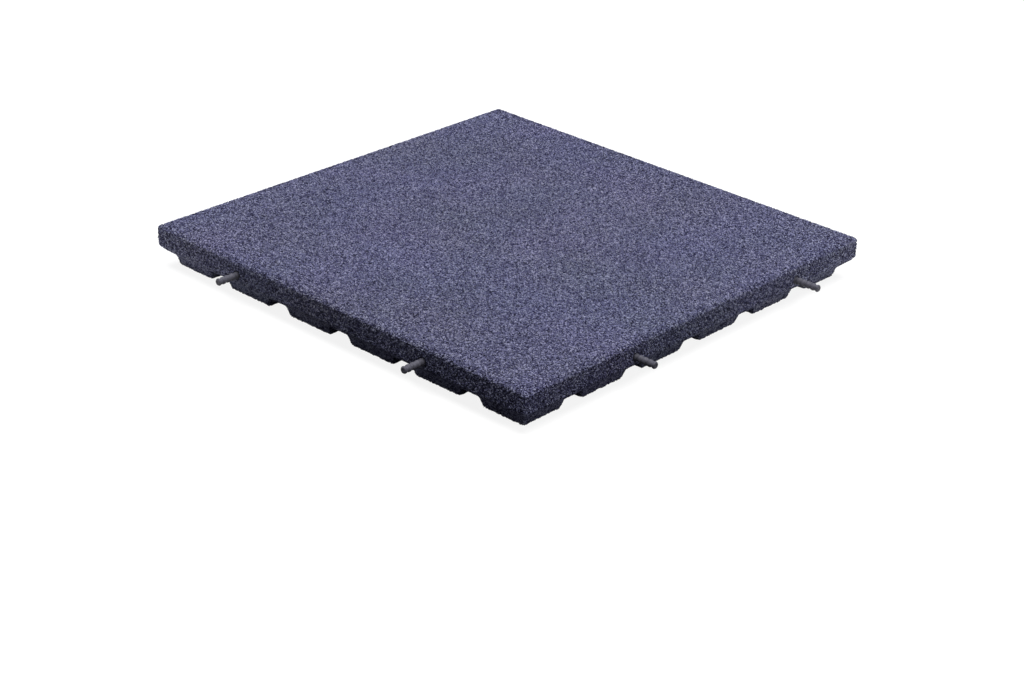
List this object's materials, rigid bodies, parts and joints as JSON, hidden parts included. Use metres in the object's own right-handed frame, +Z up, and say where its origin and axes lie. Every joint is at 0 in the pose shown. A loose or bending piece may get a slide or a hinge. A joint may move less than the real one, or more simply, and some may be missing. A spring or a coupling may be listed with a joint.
{
  "type": "rubber floor tile",
  "caption": "Square interlocking floor tile of bound rubber granulate, with feet and drainage channels underneath and plastic joining pins on two sides.",
  "frame": {"origin": "middle of the walking face", "axes": "+Z up out of the walking face; the joining pins leave the tile along -X and -Y, and the empty sockets are in the +X and +Y sides; the feet end at z = -0.045"},
  "size_m": [0.524, 0.527, 0.045],
  "materials": {
    "rubber_granulate": "coarse bound granulate, matte",
    "pin_plastic": "moulded, dull grey"
  },
  "bodies": {
    "root": {"tile_body": "rubber_granulate", "joining_pin_1": "pin_plastic", "joining_pin_2": "pin_plastic", "joining_pin_3": "pin_plastic", "joining_pin_4": "pin_plastic"}
  },
  "joints": []
}
